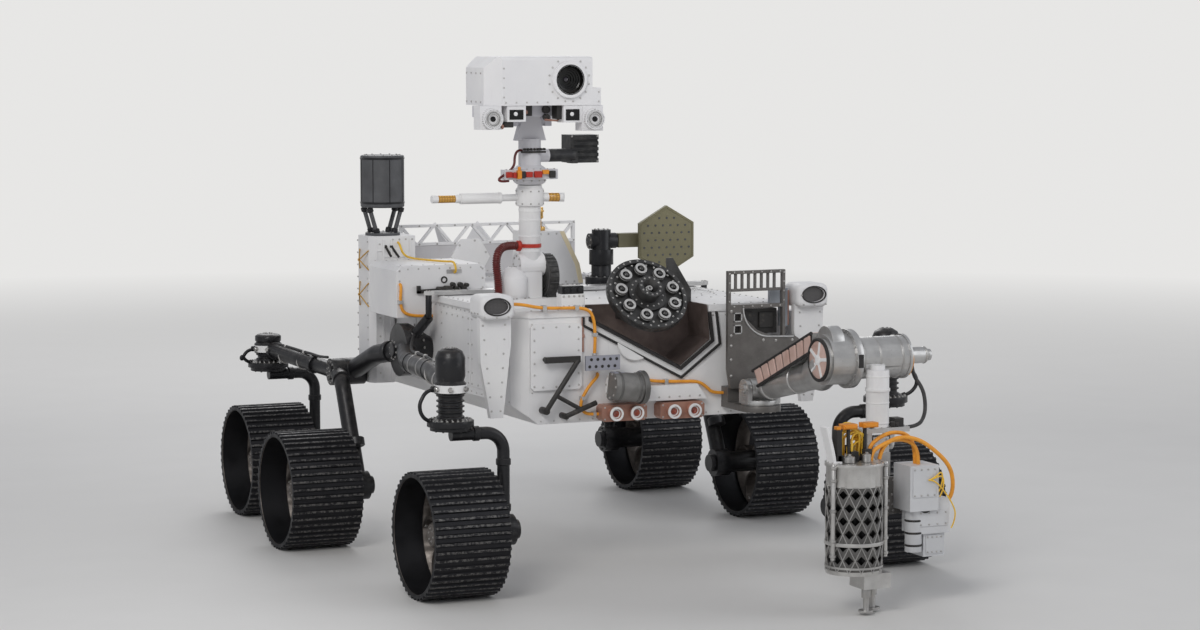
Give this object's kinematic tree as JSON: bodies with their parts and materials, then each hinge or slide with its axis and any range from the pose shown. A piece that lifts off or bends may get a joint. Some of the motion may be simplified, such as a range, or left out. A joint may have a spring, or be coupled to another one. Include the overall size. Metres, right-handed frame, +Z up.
{
  "type": "mars rover",
  "caption": "Full-size six-wheeled mars rover with rocker suspension, camera mast, jointed tool arm, dish antenna and finned generator.",
  "frame": {"origin": "on the ground, under the middle of the overall length and width", "axes": "+X to the rover's port side, -Y to its front, +Z up"},
  "size_m": [2.605, 3.8588, 2.199],
  "materials": {
    "bare_metal": "satin machined",
    "black_anodised": "black anodised, satin",
    "black_gloss": "gloss",
    "cable_jacket": "matt orange jacket",
    "copper_pink": "satin copper tone",
    "dark_composite": "matt dark grey",
    "dish_face": "matt olive paint",
    "gold_plate": "gold plated",
    "grey_paint": "grey paint",
    "lens": "coated glass",
    "red_rubber": "matt dark red",
    "white_paint": "matt white paint"
  },
  "bodies": {
    "chassis": {"hull": "white_paint", "nose_panels": "white_paint", "deck": "white_paint", "bay_rim": "black_gloss", "bit_carousel": "grey_paint", "fairings": "white_paint", "hazard_cameras": "copper_pink", "starboard_boxes": "white_paint", "port_covers": "white_paint", "differential_beam": "bare_metal", "rocker_left": "black_anodised", "rocker_right": "black_anodised", "bogie_left": "black_anodised", "bogie_right": "black_anodised", "generator": "white_paint", "heat_exchangers": "white_paint", "rear_rail": "white_paint", "uhf_antenna": "dark_composite", "dish_post": "dark_composite", "low_gain_antenna": "gold_plate", "mast_foot": "grey_paint", "mast_tube": "white_paint", "wind_booms": "white_paint", "arm_bracket": "grey_paint", "arm_shelf": "grey_paint", "nose_struts": "black_anodised", "clipped_cables": "cable_jacket", "mast_bellows": "red_rubber"},
    "dish_turn": {"dish_gimbal": "dark_composite"},
    "dish_tilt": {"dish": "dish_face"},
    "mast_pan": {"mast_yoke": "grey_paint"},
    "mast_tilt": {"mast_saddle": "grey_paint", "mast_head": "white_paint", "telescope_lens": "lens", "mast_cameras": "white_paint"},
    "arm_azimuth": {"arm_shoulder": "bare_metal"},
    "arm_upper": {"upper_arm": "bare_metal"},
    "arm_fore": {"forearm": "bare_metal", "arm_hose": "black_gloss"},
    "arm_wrist": {"wrist": "bare_metal"},
    "arm_turret": {"turret_hub": "bare_metal", "corer": "bare_metal", "instruments": "grey_paint", "stabilisers": "bare_metal", "turret_cables": "cable_jacket"},
    "steer_front_left": {"knuckle_front_left": "black_anodised"},
    "steer_front_right": {"knuckle_front_right": "black_anodised"},
    "steer_rear_left": {"knuckle_rear_left": "black_anodised"},
    "steer_rear_right": {"knuckle_rear_right": "black_anodised"},
    "wheel_front_left": {"wheel_front_left": "black_anodised"},
    "wheel_front_right": {"wheel_front_right": "black_anodised"},
    "wheel_rear_left": {"wheel_rear_left": "black_anodised"},
    "wheel_rear_right": {"wheel_rear_right": "black_anodised"},
    "wheel_middle_left": {"wheel_middle_left": "black_anodised"},
    "wheel_middle_right": {"wheel_middle_right": "black_anodised"}
  },
  "joints": [
    {"name": "steer_front_left", "type": "hinge", "parent": "chassis", "child": "steer_front_left", "pos_m": [1.01, -0.81936, 0.2625], "axis": [0, 0, 1], "range_deg": [-90, 90]},
    {"name": "spin_front_left", "type": "hinge", "parent": "steer_front_left", "child": "wheel_front_left", "pos_m": [1.01, -0.81936, 0.2625], "axis": [1, 0, 0], "continuous": true},
    {"name": "steer_front_right", "type": "hinge", "parent": "chassis", "child": "steer_front_right", "pos_m": [-1.01, -0.81936, 0.2625], "axis": [0, 0, 1], "range_deg": [-90, 90]},
    {"name": "spin_front_right", "type": "hinge", "parent": "steer_front_right", "child": "wheel_front_right", "pos_m": [-1.01, -0.81936, 0.2625], "axis": [1, 0, 0], "continuous": true},
    {"name": "steer_rear_left", "type": "hinge", "parent": "chassis", "child": "steer_rear_left", "pos_m": [1.01, 1.59065, 0.2625], "axis": [0, 0, 1], "range_deg": [-90, 90]},
    {"name": "spin_rear_left", "type": "hinge", "parent": "steer_rear_left", "child": "wheel_rear_left", "pos_m": [1.01, 1.59065, 0.2625], "axis": [1, 0, 0], "continuous": true},
    {"name": "steer_rear_right", "type": "hinge", "parent": "chassis", "child": "steer_rear_right", "pos_m": [-1.01, 1.59065, 0.2625], "axis": [0, 0, 1], "range_deg": [-90, 90]},
    {"name": "spin_rear_right", "type": "hinge", "parent": "steer_rear_right", "child": "wheel_rear_right", "pos_m": [-1.01, 1.59065, 0.2625], "axis": [1, 0, 0], "continuous": true},
    {"name": "spin_middle_left", "type": "hinge", "parent": "chassis", "child": "wheel_middle_left", "pos_m": [1.14, 0.59065, 0.2625], "axis": [1, 0, 0], "continuous": true},
    {"name": "spin_middle_right", "type": "hinge", "parent": "chassis", "child": "wheel_middle_right", "pos_m": [-1.14, 0.59065, 0.2625], "axis": [1, 0, 0], "continuous": true},
    {"name": "mast_pan", "type": "hinge", "parent": "chassis", "child": "mast_pan", "pos_m": [-0.45, -0.31935, 1.655], "axis": [0, 0, 1], "range_deg": [-180, 180]},
    {"name": "mast_tilt", "type": "hinge", "parent": "mast_pan", "child": "mast_tilt", "pos_m": [-0.45, -0.31935, 1.925], "axis": [1, 0, 0], "range_deg": [-87, 60]},
    {"name": "dish_turn", "type": "hinge", "parent": "chassis", "child": "dish_turn", "pos_m": [0.262, 0.53065, 1.23], "axis": [0, 0, 1], "range_deg": [-150, 20]},
    {"name": "dish_tilt", "type": "hinge", "parent": "dish_turn", "child": "dish_tilt", "pos_m": [0.262, 0.53065, 1.34], "axis": [1, 0, 0], "range_deg": [-45, 45]},
    {"name": "arm_azimuth", "type": "hinge", "parent": "chassis", "child": "arm_azimuth", "pos_m": [0.43, -0.75936, 0.785], "axis": [0, 0, 1], "range_deg": [-60, 25]},
    {"name": "arm_shoulder", "type": "hinge", "parent": "arm_azimuth", "child": "arm_upper", "pos_m": [0.43, -0.75936, 0.785], "axis": [-1, 0, 0], "range_deg": [-15, 60]},
    {"name": "arm_elbow", "type": "hinge", "parent": "arm_upper", "child": "arm_fore", "pos_m": [0.52, -1.41935, 0.975], "axis": [-1, 0, 0], "range_deg": [-10, 110]},
    {"name": "arm_wrist", "type": "hinge", "parent": "arm_fore", "child": "arm_wrist", "pos_m": [0.575, -1.52936, 0.64], "axis": [-1, 0, 0], "range_deg": [-90, 5]},
    {"name": "arm_turret", "type": "hinge", "parent": "arm_wrist", "child": "arm_turret", "pos_m": [0.48, -1.65935, 0.43], "axis": [0, 1, 0], "range_deg": [-175, 175]}
  ]
}
